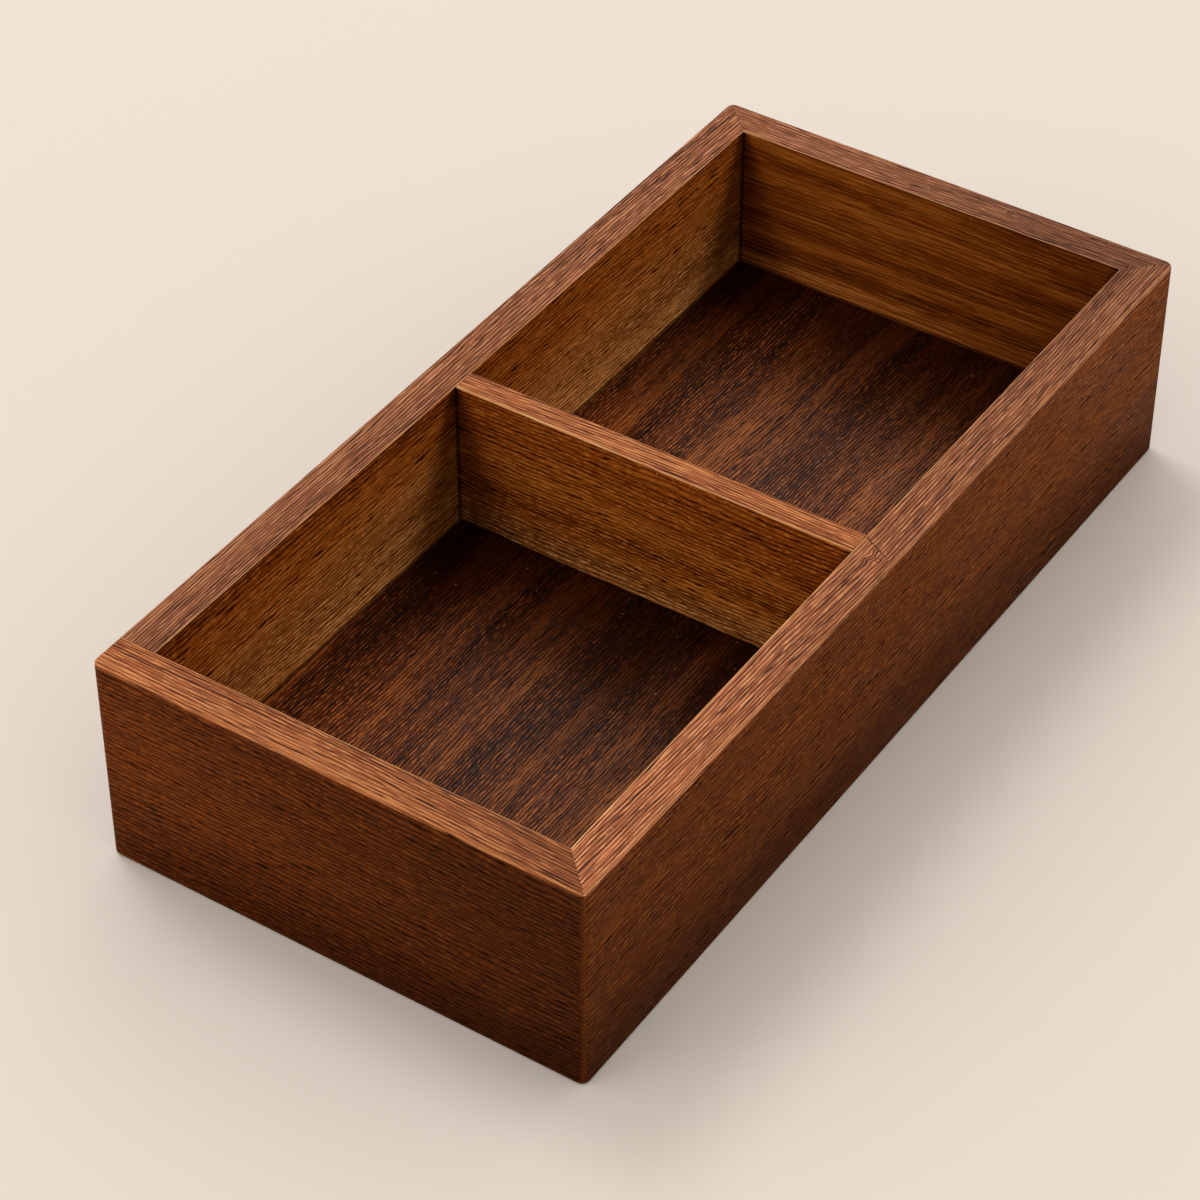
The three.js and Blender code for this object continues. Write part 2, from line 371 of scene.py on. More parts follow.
CORNERS = {
    "front_left": (Vector((CAD_LOW.x, CAD_LOW.y, 0)), 0.0),
    "front_right": (Vector((CAD_HIGH.x, CAD_LOW.y, 0)), -math.pi / 4),
    "back_right": (Vector((CAD_HIGH.x, CAD_HIGH.y, 0)), math.pi / 4),
    "back_left": (Vector((CAD_LOW.x, CAD_HIGH.y, 0)), -math.pi / 4),
}

# Each wall's outward direction, and how it ends at two corners
WALLS = {
    "front_wall": (Vector((0, -1, 0)), {"front_left": "through", "front_right": "mitre"}),
    "right_wall": (Vector((1, 0, 0)), {"front_right": "mitre", "back_right": "mitre"}),
    "back_wall": (Vector((0, 1, 0)), {"back_right": "mitre", "back_left": "mitre"}),
    "left_wall": (Vector((-1, 0, 0)), {"back_left": "mitre", "front_left": "square"}),
}

# Each board's values: where its grain lies in the plank and how its grain slopes, as it was cut; the
# height of its pale foot, which is painted light; the tones of its faces and top edge from one end to
# the other; how the tone of its faces changes up to the rim, which is painted light and shade; and
# the seed of its wear
BOARDS = {
    # the front wall's face tone, falling from its left end to its right, is painted light and shade
    "front_wall": {
        "shift": (310, 40, 12), "slope": 0.004, "pale": 20 * MM,
        "tone": (1.06, 0.46), "rise": 1.0, "edge_tone": (0.86, 0.59), "seed": 11,
    },
    "right_wall": {
        "shift": (-190, 95, 61), "slope": -0.006, "pale": 20 * MM,
        "tone": (0.77, 1.03), "rise": 1.42, "edge_tone": (1.06, 0.48), "seed": 23,
    },
    "back_wall": {
        "shift": (520, -80, 33), "slope": 0.005, "pale": 14 * MM,
        "tone": (0.86, 0.53), "rise": 0.85, "edge_tone": (0.74, 0.4), "seed": 37,
    },
    "left_wall": {
        "shift": (60, -150, 85), "slope": 0.003, "pale": 40 * MM,
        "tone": (1.42, 1.38), "rise": 0.4, "edge_tone": (0.6, 0.7), "seed": 41,
    },
    "divider": {
        "shift": (870, 210, 140), "slope": 0.0, "pale": 14 * MM,
        "tone": (1.1, 1.14), "rise": 0.6, "edge_tone": (0.82, 0.86), "seed": 53,
    },
    "floor_panel": {
        "shift": (-640, 330, 0), "slope": 0.0, "pale": 20 * MM,
        "tone": (0.72, 0.8), "rise": 1.0, "edge_tone": (1.0, 1.0), "seed": 67,
    },
}


def rounded_block():
    """The tray's outer form as one solid block, with all its edges rounded."""
    bm = box_mesh(CAD_LOW, CAD_HIGH)
    upright = [e for e in bm.edges if abs(e.verts[0].co.z - e.verts[1].co.z) > RIM / 2]
    round_edges(bm, upright, CORNER_RADIUS, CORNER_STEPS)
    level = [f for f in bm.faces if abs(f.normal.z) > LEVEL]
    round_edges(bm, list({e for f in level for e in f.edges}), EDGE_RADIUS, EDGE_STEPS)
    return bm


def spline_slot(corner):
    """The slot that a corner's spline fills, open below."""
    low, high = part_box("spline_" + corner)
    middle = (low + high) / 2
    half = (SPLINE_HIGH - SPLINE_LOW) / 2 + Vector((FIT, FIT, FIT))
    turn = CORNERS[corner][1]
    return (
        Vector((middle.x - half.x, middle.y - half.y, CAD_LOW.z - PAST)),
        Vector((middle.x + half.x, middle.y + half.y, high.z + FIT)),
        turn,
    )


def floor_groove(inward, stop_at):
    """The groove along a wall's inner face for the floor panel's tongue. It stops short of the
    corner named by stop_at, and otherwise runs out at both ends."""
    depth = WALL - GROOVE_DEPTH
    low = Vector((CAD_LOW.x - PAST, CAD_LOW.y - PAST, FLOOR_LOW.z - FIT))
    high = Vector((CAD_HIGH.x + PAST, CAD_HIGH.y + PAST, FLOOR_LOW.z + TONGUE_THICKNESS + FIT))
    axis = 0 if abs(inward.x) > 0.5 else 1
    if inward[axis] > 0:
        low[axis] = CAD_LOW[axis] + depth
        high[axis] = CAD_LOW[axis] + WALL + PAST
    else:
        low[axis] = CAD_HIGH[axis] - WALL - PAST
        high[axis] = CAD_HIGH[axis] - depth
    if stop_at == "front_left":
        low.x = CAD_LOW.x + depth
    return low, high, 0.0


def divider_housing(side):
    """The stopped housing in a long wall for one end of the divider."""
    inner = side * (INNER_X - PAST)
    outer = side * (DIVIDER_HIGH.x + FIT)
    low = Vector((min(inner, outer), DIVIDER_LOW.y - HOUSING_LINE, DIVIDER_LOW.z - FIT))
    high = Vector((max(inner, outer), DIVIDER_HIGH.y + HOUSING_LINE, RIM - HOUSING_STOP))
    return low, high, 0.0


def saw_wall(bm, inner_plane, inward):
    """Leaves a wall of the tray's block, as far in as its inner face, and rounds that face's edges."""
    saw(bm, inner_plane, inward)
    inner_rims = [
        e for e in bm.edges
        if all(abs((v.co - inner_plane).dot(inward)) < NEAR for v in e.verts)
        and abs(e.verts[0].co.z - e.verts[1].co.z) < NEAR
    ]
    round_edges(bm, inner_rims, INNER_EDGE_RADIUS, EDGE_STEPS)


def saw_end(bm, joint, point, along, inward):
    """Cuts a wall's end at a corner for its joint. along points from the corner into the wall."""
    if joint == "mitre":
        saw(bm, point + along * SEAM / math.sqrt(2), (inward - along).normalized())
    if joint == "square":
        saw(bm, point + along * (WALL + SEAM), -along)


def build_wall(name, finishes):
    board = BOARDS[name]
    outward, ends = WALLS[name]
    inward = -outward
    first, second = (CORNERS[corner][0] for corner in ends)
    first_joint, second_joint = ends.values()
    inner_plane = first + inward * WALL

    bm = rounded_block()
    saw_wall(bm, inner_plane, inward)
    along = (second - first).normalized()
    saw_end(bm, first_joint, first, along, inward)
    saw_end(bm, second_joint, second, -along, inward)
    along = Vector((abs(along.x), abs(along.y), 0))
    run = [v.co.dot(along) for v in bm.verts]
    score(bm, along, min(run), max(run))
    draw_line(bm, FLOOR_LOW, UP)

    def finish_of(face):
        height = face.calc_center_median().z
        if face.normal.dot(inward) > LEAN and face.normal.z > LEAN:
            return "arris"
        if face.normal.z > LEAN and height > RIM / 2:
            return "edge"
        if face.normal.z < -UNDER_LEAN:
            return "under"
        if face.normal.dot(inward) > 0.5:
            return "inner" if height > FLOOR_LOW.z else "under"
        return "outer"

    bm.normal_update()
    mark_finishes(bm, finishes, finish_of)
    across = Vector((abs(outward.x), abs(outward.y), 0))
    sides = ((first.dot(across), EDGE_RADIUS), (inner_plane.dot(across), INNER_EDGE_RADIUS))
    faces, radii = zip(*sorted(sides))
    wear_edges(bm, along, across, faces, radii, board["seed"])
    piece = new_piece(name + "_board", bm, finishes)

    stop_at = next((corner for corner, joint in ends.items() if joint == "through"), None)
    cuts = [floor_groove(inward, stop_at)] + [spline_slot(corner) for corner in ends]
    if abs(outward.x) > 0.5:
        cuts.append(divider_housing(1 if outward.x > 0 else -1))
    carve(piece, cuts)
    lay_grain(piece, board, along)
    smooth_edges(piece)
    seat(piece, name)


def build_divider(finishes):
    board = BOARDS["divider"]
    along = Vector((1, 0, 0))
    across = Vector((0, 1, 0))
    bm = box_mesh(DIVIDER_LOW, DIVIDER_HIGH)
    top = [
        e for e in bm.edges
        if all(abs(v.co.z - RIM) < NEAR for v in e.verts)
        and abs((e.verts[0].co - e.verts[1].co).normalized().x) > LEVEL
    ]
    round_edges(bm, top, DIVIDER_EDGE_RADIUS, EDGE_STEPS)
    score(bm, along, DIVIDER_LOW.x, DIVIDER_HIGH.x)

    def finish_of(face):
        if face.normal.z > LEVEL:
            return "edge"
        if face.normal.z > LEAN:
            return "arris"
        return "under" if abs(face.normal.x) > 0.5 or face.normal.z < -UNDER_LEAN else "inner"

    bm.normal_update()
    mark_finishes(bm, finishes, finish_of)
    faces = (DIVIDER_LOW.y, DIVIDER_HIGH.y)
    wear_edges(bm, along, across, faces, (DIVIDER_EDGE_RADIUS, DIVIDER_EDGE_RADIUS), board["seed"])
    piece = new_piece("divider_board", bm, finishes)

    shoulder = INNER_X - BUTT_LINE
    notch_foot = RIM - HOUSING_STOP - FIT
    notches = []
    for side in (-1, 1):
        inner, outer = sorted((side * shoulder, side * (DIVIDER_HIGH.x + PAST)))
        low = Vector((inner, DIVIDER_LOW.y - PAST, notch_foot))
        high = Vector((outer, DIVIDER_HIGH.y + PAST, RIM + PAST))
        notches.append((low, high, 0.0))
    carve(piece, notches)
    lay_grain(piece, board, along)
    smooth_edges(piece)
    seat(piece, "divider")


def build_floor(finishes):
    """The floor panel: a field between the walls with a tongue along each side."""
    gap = Vector((SHADOW_GAP, SHADOW_GAP, 0))
    field_low = Vector((-INNER_X, -INNER_Y, FLOOR_LOW.z)) + gap
    field_high = Vector((INNER_X, INNER_Y, FLOOR_TOP)) - gap
    bm = box_mesh(field_low, field_high)
    tongue_top = Vector((0, 0, FLOOR_LOW.z + TONGUE_THICKNESS))
    draw_line(bm, tongue_top, UP)
    sides = [
        f for f in bm.faces
        if abs(f.normal.z) < LEAN and f.calc_center_median().z < tongue_top.z
    ]
    tongues = bmesh.ops.extrude_discrete_faces(bm, faces=sides)["faces"]
    reach = FLOOR_HIGH.x - field_high.x
    for face in tongues:
        bmesh.ops.translate(bm, verts=face.verts[:], vec=face.normal * reach)
    top = [e for e in bm.edges if all(abs(v.co.z - FLOOR_TOP) < NEAR for v in e.verts)]
    round_edges(bm, top, FLOOR_EDGE_RADIUS, FLOOR_EDGE_STEPS)
    bm.normal_update()
    mark_finishes(bm, finishes, lambda face: "floor" if face.normal.z > LEAN else "under")
    piece = new_piece("floor_board", bm, finishes)

    trench_low = Vector((-INNER_X - PAST, DIVIDER_LOW.y - FIT, DIVIDER_LOW.z - FIT))
    trench_high = Vector((INNER_X + PAST, DIVIDER_HIGH.y + FIT, FLOOR_TOP + PAST))
    carve(piece, [(trench_low, trench_high, 0.0)])
    lay_grain(piece, BOARDS["floor_panel"], Vector((0, 1, 0)))
    mark_far_shadow(piece)
    smooth_edges(piece)
    seat(piece, "floor_panel")


# Shader nodes

def stain(red, green, blue):
    """A colour as on a stain card, 0 to 255, turned into the linear values that shaders take."""
    def linear(value):
        """The standard curve of screen colours."""
        value /= 255
        return value / 12.92 if value <= 0.04045 else ((value + 0.055) / 1.055) ** 2.4

    return (linear(red), linear(green), linear(blue), 1.0)


def add(tree, kind, inputs, **settings):
    """A node with its settings, its inputs set or linked by name or number."""
    node = tree.nodes.new(kind)
    for name, value in settings.items():
        setattr(node, name, value)
    for name, value in inputs.items():
        if isinstance(value, bpy.types.NodeSocket):
            tree.links.new(value, node.inputs[name])
        else:
            node.inputs[name].default_value = value
    return node


def calc(tree, operation, first, second=0.0):
    return add(tree, "ShaderNodeMath", {0: first, 1: second}, operation=operation).outputs[0]


def vector_calc(tree, operation, first, second):
    node = add(tree, "ShaderNodeVectorMath", {0: first, 1: second}, operation=operation)
    return node.outputs[0]


def ease(tree, value, start, end, low=0.0, high=1.0):
    """A smooth step of a value, from low at start to high at end."""
    inputs = {"Value": value, "From Min": start, "From Max": end, "To Min": low, "To Max": high}
    return add(tree, "ShaderNodeMapRange", inputs, interpolation_type="SMOOTHSTEP").outputs[0]


def mix(tree, factor, first, second, blend="MIX"):
    inputs = {0: factor, 6: first, 7: second}
    node = add(tree, "ShaderNodeMix", inputs, data_type="RGBA", blend_type=blend)
    return node.outputs[2]


def split(tree, vector):
    """The three parts of a vector."""
    return add(tree, "ShaderNodeSeparateXYZ", {0: vector}).outputs


def spot_on(tree):
    """The place on the object, which is a place in the tray's own frame."""
    return tree.nodes.new("ShaderNodeTexCoord").outputs["Object"]


def cloud(tree, vector, sizes, detail):
    """Noise stretched to the given sizes, in the vector's own units."""
    scaled = vector_calc(tree, "MULTIPLY", vector, tuple(1 / size for size in sizes))
    inputs = {"Vector": scaled, "Scale": 1.0, "Detail": detail}
    return add(tree, "ShaderNodeTexNoise", inputs)


def new_group(name, inputs, outputs):
    tree = bpy.data.node_groups.new(name, "ShaderNodeTree")
    for label, kind, value in inputs:
        socket = tree.interface.new_socket(label, in_out="INPUT", socket_type=kind)
        socket.default_value = value
    for label, kind in outputs:
        tree.interface.new_socket(label, in_out="OUTPUT", socket_type=kind)
    start = tree.nodes.new("NodeGroupInput")
    end = tree.nodes.new("NodeGroupOutput")
    return tree, start.outputs, end.inputs


def use_group(tree, group, inputs):
    return add(tree, "ShaderNodeGroup", inputs, node_tree=group).outputs


def stretch(tree, vector, length, width):
    """The vector measured in lengths along the grain and widths across it."""
    size = add(tree, "ShaderNodeCombineXYZ", {0: length, 1: width, 2: width}).outputs[0]
    return vector_calc(tree, "DIVIDE", vector, size)


def wood_grain_group():
    """Stained open-pored wood along a board's own grain axes, which are in millimetres: long lines of
    paler and darker fibres, broad bands, fine rippled grooves at an even spacing that fade in and out,
    and pale marks on the ridges between them, which are painted highlights."""
    inputs = [
        ("Grain", "NodeSocketVector", (0, 0, 0)),
        ("Dark", "NodeSocketColor", (0, 0, 0, 1)),
        ("Mid", "NodeSocketColor", (0, 0, 0, 1)),
        ("Light", "NodeSocketColor", (0, 0, 0, 1)),
        ("Spacing", "NodeSocketFloat", 1.0),
        ("Length", "NodeSocketFloat", 20.0),
        ("Ripple", "NodeSocketFloat", 0.6),
        ("Ridge", "NodeSocketFloat", 0.27),
        ("Grooves", "NodeSocketFloat", 0.5),
        ("Ridge Highlights", "NodeSocketFloat", 0.5),
        ("Lines", "NodeSocketFloat", 0.6),
        ("Bands", "NodeSocketFloat", 0.3),
    ]
    outputs = [
        ("Color", "NodeSocketColor"),
        ("Pores", "NodeSocketFloat"),
        ("Height", "NodeSocketFloat"),
    ]
    tree, given, result = new_group("wood_grain", inputs, outputs)

    def sway(sizes, reach):
        """A push across the grain, to either side, that changes from place to place."""
        push = cloud(tree, given["Grain"], sizes, 1).outputs["Color"]
        push = vector_calc(tree, "SUBTRACT", push, (0.5, 0.5, 0.5))
        return vector_calc(tree, "MULTIPLY", push, reach)

    ripple = sway(RIPPLE_SIZE, (0, 1, 1))
    ripple = add(tree, "ShaderNodeVectorMath", {0: ripple, "Scale": given["Ripple"]}, operation="SCALE")
    bent = vector_calc(tree, "ADD", given["Grain"], sway(BEND_SIZE, BEND_REACH))
    bent = vector_calc(tree, "ADD", bent, ripple.outputs[0])

    def fibre_noise(lengths, widths):
        """Noise stretched to a number of line lengths along the grain and spacings across it."""
        long = calc(tree, "MULTIPLY", given["Length"], lengths)
        wide = calc(tree, "MULTIPLY", given["Spacing"], widths)
        inputs = {"Vector": stretch(tree, bent, long, wide), "Scale": 1.0, "Detail": 1.0}
        return add(tree, "ShaderNodeTexNoise", inputs).outputs[0]

    def part(value, strength):
        """How far a value moves the tone to either side."""
        return calc(tree, "MULTIPLY", calc(tree, "SUBTRACT", value, 0.5), strength)

    growth = add(tree, "ShaderNodeVectorMath", {0: bent, 1: GROWTH_ACROSS}, operation="DOT_PRODUCT")
    growth = calc(tree, "DIVIDE", growth.outputs["Value"], given["Spacing"])
    drift = calc(tree, "MULTIPLY", cloud(tree, bent, DRIFT_SIZE, 1).outputs[0], DRIFT)
    ragged = fibre_noise(*RAGGED_SIZE)
    phase = calc(tree, "ADD", growth, calc(tree, "ADD", drift, ragged))
    edge = calc(tree, "ABSOLUTE", calc(tree, "SUBTRACT", calc(tree, "FRACT", phase), 0.5))

    kept = ease(tree, fibre_noise(*FADE_SIZE), *FADE_RANGE, FAINT_GROOVE, 1.0)
    grooves = calc(tree, "MULTIPLY", ease(tree, edge, given["Ridge"], GROOVE_FLOOR), given["Grooves"])
    grooves = calc(tree, "MULTIPLY", grooves, kept)
    # painted highlights: pale marks on the ridges between the grooves
    ridge_highlights = ease(tree, fibre_noise(*RIDGE_HIGHLIGHT_SIZE), *RIDGE_HIGHLIGHT_RANGE)
    ridge_highlights = calc(tree, "MULTIPLY", ridge_highlights, ease(tree, edge, *RIDGE_RANGE))
    ridge_highlights = calc(tree, "MULTIPLY", ridge_highlights, given["Ridge Highlights"])

    lines = ease(tree, fibre_noise(*LINE_SIZE), *FIBRE_RANGE)
    threads = ease(tree, fibre_noise(*THREAD_SIZE), *FIBRE_RANGE)
    bands = ease(tree, cloud(tree, bent, BAND_SIZE, 3).outputs[0], *BAND_RANGE)
    fibres = mix(tree, THREAD_SHARE, lines, threads)
    tone = calc(tree, "ADD", part(fibres, given["Lines"]), part(bands, given["Bands"]))
    colour = mix(tree, ease(tree, tone, -0.5, 0.0), given["Dark"], given["Mid"])
    colour = mix(tree, ease(tree, tone, 0.0, 0.5), colour, given["Light"])
    colour = mix(tree, ridge_highlights, colour, given["Light"])
    shade = mix(tree, 1.0, given["Dark"], GROOVE_TINT, "MULTIPLY")
    colour = mix(tree, grooves, colour, shade)

    height = calc(tree, "MULTIPLY", calc(tree, "ADD", fibres, ridge_highlights), FIBRE_HEIGHT)
    tree.links.new(colour, result["Color"])
    tree.links.new(grooves, result["Pores"])
    tree.links.new(calc(tree, "SUBTRACT", height, grooves), result["Height"])
    return tree


def worn_highlit_arris_group():
    """Where a board's edge is rounded, rubbed pale and lit by a painted highlight: a mask from the turn
    of the surface.
    """
    inputs = [("Grain", "NodeSocketVector", (0, 0, 0))]
    tree, given, result = new_group("worn_highlit_arris", inputs, [("Wear", "NodeSocketFloat")])
    normal = tree.nodes.new("ShaderNodeTexCoord").outputs["Normal"]
    size = vector_calc(tree, "ABSOLUTE", normal, (0, 0, 0))
    x, y, z = split(tree, size)
    largest = calc(tree, "MAXIMUM", calc(tree, "MAXIMUM", x, y), z)
    turned = ease(tree, largest, *TURN_RANGE)
    patchy = cloud(tree, given["Grain"], WEAR_HIGHLIGHT_SIZE, 3).outputs[0]
    patchy = ease(tree, patchy, *WEAR_HIGHLIGHT_RANGE, FAINT_WEAR_HIGHLIGHT, 1.0)
    tree.links.new(calc(tree, "MULTIPLY", turned, patchy), result["Wear"])
    return tree


def painted_corner_shade_group():
    """Painted shade in the tray's inner corners, as two masks from the place: thin painted shade lines
    along the corners, and painted shadow in the far corners of each compartment, wider towards the
    floor."""
    outputs = [("Line", "NodeSocketFloat"), ("Shade", "NodeSocketFloat")]
    tree, _, result = new_group("corners", [], outputs)
    x, y, z = split(tree, spot_on(tree))
    half = (DIVIDER_HIGH.y - DIVIDER_LOW.y) / 2
    to_side = calc(tree, "SUBTRACT", INNER_X, calc(tree, "ABSOLUTE", x))
    to_end = calc(tree, "SUBTRACT", INNER_Y, calc(tree, "ABSOLUTE", y))
    to_middle = calc(tree, "ABSOLUTE", calc(tree, "SUBTRACT", y, DIVIDER_MIDDLE))
    to_divider = calc(tree, "SUBTRACT", to_middle, half)

    by_side = ease(tree, to_side, SHADE_LINE_WIDTH, SHADOW_GAP)
    by_cross = ease(tree, calc(tree, "MINIMUM", to_end, to_divider), SHADE_LINE_WIDTH, SHADOW_GAP)
    by_floor = ease(tree, z, FLOOR_TOP + SHADE_LINE_WIDTH, FLOOR_TOP)
    upright = calc(tree, "MULTIPLY", by_side, by_cross)
    level = calc(tree, "MULTIPLY", by_floor, calc(tree, "MAXIMUM", by_side, by_cross))
    tree.links.new(calc(tree, "MAXIMUM", upright, level), result["Line"])

    in_back = calc(tree, "GREATER_THAN", y, DIVIDER_MIDDLE)
    face = calc(tree, "ADD", DIVIDER_LOW.y, calc(tree, "MULTIPLY", in_back, INNER_Y - DIVIDER_LOW.y))
    to_far = calc(tree, "SUBTRACT", face, y)
    depth = calc(tree, "SUBTRACT", RIM, z)
    along_reach = calc(tree, "ADD", CORNER_SHADE, calc(tree, "MULTIPLY", depth, CORNER_SPREAD))
    cross_reach = calc(tree, "MULTIPLY", along_reach, CROSS_SHARE)
    near_far = ease(tree, calc(tree, "DIVIDE", to_far, along_reach), *SHADE_RANGE_ALONG)
    near_side = ease(tree, calc(tree, "DIVIDE", to_side, cross_reach), *SHADE_RANGE_ACROSS)
    tree.links.new(calc(tree, "MULTIPLY", near_far, near_side), result["Shade"])
    return tree


def speck_group():
    """Sparse pale specks: a mask from the place."""
    tree, _, result = new_group("specks", [], [("Specks", "NodeSocketFloat")])
    cells = add(tree, "ShaderNodeTexVoronoi", {"Vector": spot_on(tree), "Scale": 1 / SPECK_SPACING})
    chance = add(tree, "ShaderNodeSeparateColor", {0: cells.outputs["Color"]}).outputs[0]
    dots = ease(tree, cells.outputs["Distance"], *SPECK_RANGE)
    chosen = ease(tree, chance, *SPECK_CHANCE)
    tree.links.new(calc(tree, "MULTIPLY", dots, chosen), result["Specks"])
    return tree


# Finishes

def new_material(name):
    material = bpy.data.materials.new(name)
    material.use_nodes = True
    tree = material.node_tree
    return material, tree, tree.nodes["Principled BSDF"]


def board_value(tree, name):
    """A value that a board carries: its grain axes, or its foot, tone, edge tone or far value."""
    node = add(tree, "ShaderNodeAttribute", {}, attribute_name=name)
    return node.outputs["Vector" if name == "grain" else "Fac"]


def tint(tree, factor, colour, times):
    """The colour, multiplied by another where the factor is 1."""
    return mix(tree, factor, colour, mix(tree, 1.0, colour, times, "MULTIPLY"))


def pin_knots(tree, axes):
    """The figure in the top edges: a pin knot in the right wall beside the divider's end, where the
    grain turns and breaks along a slanting line, and another in the back wall. It gives the turned
    grain axes and a mask of the knots' dark lines."""
    spot = spot_on(tree)
    x = split(tree, spot)[0]

    def distance_to(mark):
        node = add(tree, "ShaderNodeVectorMath", {0: spot, 1: (*mark, RIM)}, operation="DISTANCE")
        return calc(tree, "DIVIDE", node.outputs["Value"], MM)

    board = BOARDS["right_wall"]
    knot = Vector((SWIRL_PLACE[1], -SWIRL_PLACE[0], RIM + SWIRL_PLACE[1] * board["slope"])) / MM
    turn = ease(tree, distance_to(SWIRL_PLACE), *SWIRL_RANGE, 0.0, SWIRL_TURN)
    turned = add(tree, "ShaderNodeVectorRotate", {
        "Vector": axes, "Center": knot + Vector(board["shift"]), "Angle": turn,
    }, rotation_type="Z_AXIS").outputs[0]

    past = add(tree, "ShaderNodeVectorMath", {0: spot, 1: SLANT_ACROSS}, operation="DOT_PRODUCT")
    past = calc(tree, "DIVIDE", calc(tree, "SUBTRACT", past.outputs["Value"], SLANT_OFFSET), MM)
    on_wall = calc(tree, "GREATER_THAN", x, INNER_X - BUTT_LINE / 2)
    front = calc(tree, "MULTIPLY", calc(tree, "LESS_THAN", past, 0.0), on_wall)
    jump = calc(tree, "MULTIPLY", front, ease(tree, past, -SLANT_FADE, 0.0))
    jump = add(tree, "ShaderNodeVectorMath", {0: SLANT_JUMP, "Scale": jump}, operation="SCALE")
    turned = vector_calc(tree, "ADD", turned, jump.outputs[0])

    stop = CAD_HIGH.x - SLANT_STOP
    within = calc(tree, "MULTIPLY", on_wall, ease(tree, x, stop, stop - SLANT_SOFT))
    dark = calc(tree, "MULTIPLY", ease(tree, calc(tree, "ABSOLUTE", past), *SLANT_LINE), within)
    for knot_place in KNOT_PLACES:
        ring = calc(tree, "SUBTRACT", distance_to(knot_place), KNOT_RADIUS)
        ring = calc(tree, "ABSOLUTE", ring)
        dark = calc(tree, "MAXIMUM", dark, ease(tree, ring, *KNOT_LINE))
    return turned, dark


def tint_zones(tree, colour, axes, parts):
    """Tints the zones of a board for which parts gives a tint: the base and the rim of its outer and
    inner faces, where the base is painted shade; its pale foot, which is painted light; and the left
    of the floor, which is painted light, and its far side, which is painted shadow."""
    def ragged_value(name, sizes, raggedness):
        ragged = calc(tree, "MULTIPLY", cloud(tree, axes, sizes, 2).outputs[0], raggedness)
        return calc(tree, "ADD", board_value(tree, name), ragged)

    x, _, z = split(tree, spot_on(tree))
    # painted shade, darker towards the table
    if "base" in parts:
        colour = tint(tree, ease(tree, z, SHADED_BASE_HEIGHT, 0.0), colour, parts["base"])
    if "rim" in parts:
        colour = tint(tree, ease(tree, z, RIM / 2, RIM), colour, parts["rim"])
    # painted light at the foot of the inner faces, paler towards the floor
    if "foot" in parts:
        pale = ease(tree, ragged_value("foot", LIT_FOOT_SIZE, LIT_FOOT_RAGGED), *LIT_FOOT_RANGE)
        colour = tint(tree, pale, colour, parts["foot"])
    # painted light, paler towards the left of the floor
    if "left" in parts:
        colour = tint(tree, ease(tree, x, LIT_LEFT_START, -INNER_X), colour, parts["left"])
    # painted shadow at the far side of each compartment's floor
    if "far" in parts:
        far_shadow_mask = ease(tree, ragged_value("far", FAR_SHADOW_SIZE, FAR_SHADOW_RAGGED), *FAR_SHADOW_RANGE)
        colour = tint(tree, far_shadow_mask, colour, parts["far"])
    return colour


def wood_finish(name, groups, tones, grain, satin, **parts):
    """A stained board. tones are its dark, middle and light colours, grain the values of its grain
    group, and satin its roughness, its specular level and the depth of its open grain. The other
    parts, where given, are: tone, the name of its tone value; knots; inside, with painted shade lines
    along the inner corners and painted shadow in the far corners; base, rim, foot, far and left, the
    tints of those zones, of which the base is painted shade, the foot and the left painted light and
    the far side painted shadow; worn, the colour and the strength of edges that are rubbed and carry
    a painted highlight."""
    material, tree, shader = new_material(name)
    axes = board_value(tree, "grain")
    knots = None
    if parts.get("knots"):
        axes, knots = pin_knots(tree, axes)
    dark, mid, light = tones
    roughness, specular, relief = satin
    colours = {"Dark": dark, "Mid": mid, "Light": light}
    wood = use_group(tree, groups["grain"], {"Grain": axes, **colours, **grain})
    tone = board_value(tree, parts.get("tone", "tone"))
    tone = add(tree, "ShaderNodeCombineColor", {0: tone, 1: tone, 2: tone}).outputs[0]
    colour = mix(tree, 1.0, wood["Color"], tone, "MULTIPLY")
    colour = tint_zones(tree, colour, axes, parts)
    # painted shade lines along the inner corners and painted shadow in the far corners
    if parts.get("inside"):
        painted_corner_shade = use_group(tree, groups["corner"], {})
        colour = tint(tree, painted_corner_shade["Shade"], colour, CORNER_SHADOW_TINT)
        colour = tint(tree, painted_corner_shade["Line"], colour, LINE_SHADE_TINT)
    if knots:
        colour = tint(tree, knots, colour, KNOT_TINT)
    bump_height = wood["Height"]
    # edges partly rubbed pale and partly given a painted highlight
    if "worn" in parts:
        worn, strength = parts["worn"]
        wear = use_group(tree, groups["wear"], {"Grain": axes})["Wear"]
        wear = calc(tree, "MULTIPLY", wear, strength)
        colour = mix(tree, wear, colour, worn)
        bump_height = calc(tree, "MULTIPLY", bump_height, calc(tree, "SUBTRACT", 1.0, wear))
    specks = use_group(tree, groups["specks"], {})["Specks"]
    specks = calc(tree, "MULTIPLY", specks, SPECK_STRENGTH)
    colour = mix(tree, specks, colour, light)
    patches = cloud(tree, axes, GLOSS_SIZE, 2).outputs[0]
    gloss = ease(tree, patches, *PATCH_RANGE, roughness - GLOSS_CHANGE, roughness + GLOSS_CHANGE)
    gloss = calc(tree, "ADD", gloss, calc(tree, "MULTIPLY", wood["Pores"], PORE_ROUGHNESS))
    bump = add(tree, "ShaderNodeBump", {
        "Strength": relief, "Distance": GRAIN_DEPTH, "Height": bump_height,
    })
    tree.links.new(colour, shader.inputs["Base Color"])
    tree.links.new(gloss, shader.inputs["Roughness"])
    tree.links.new(bump.outputs["Normal"], shader.inputs["Normal"])
    shader.inputs["Specular IOR Level"].default_value = specular
    return material


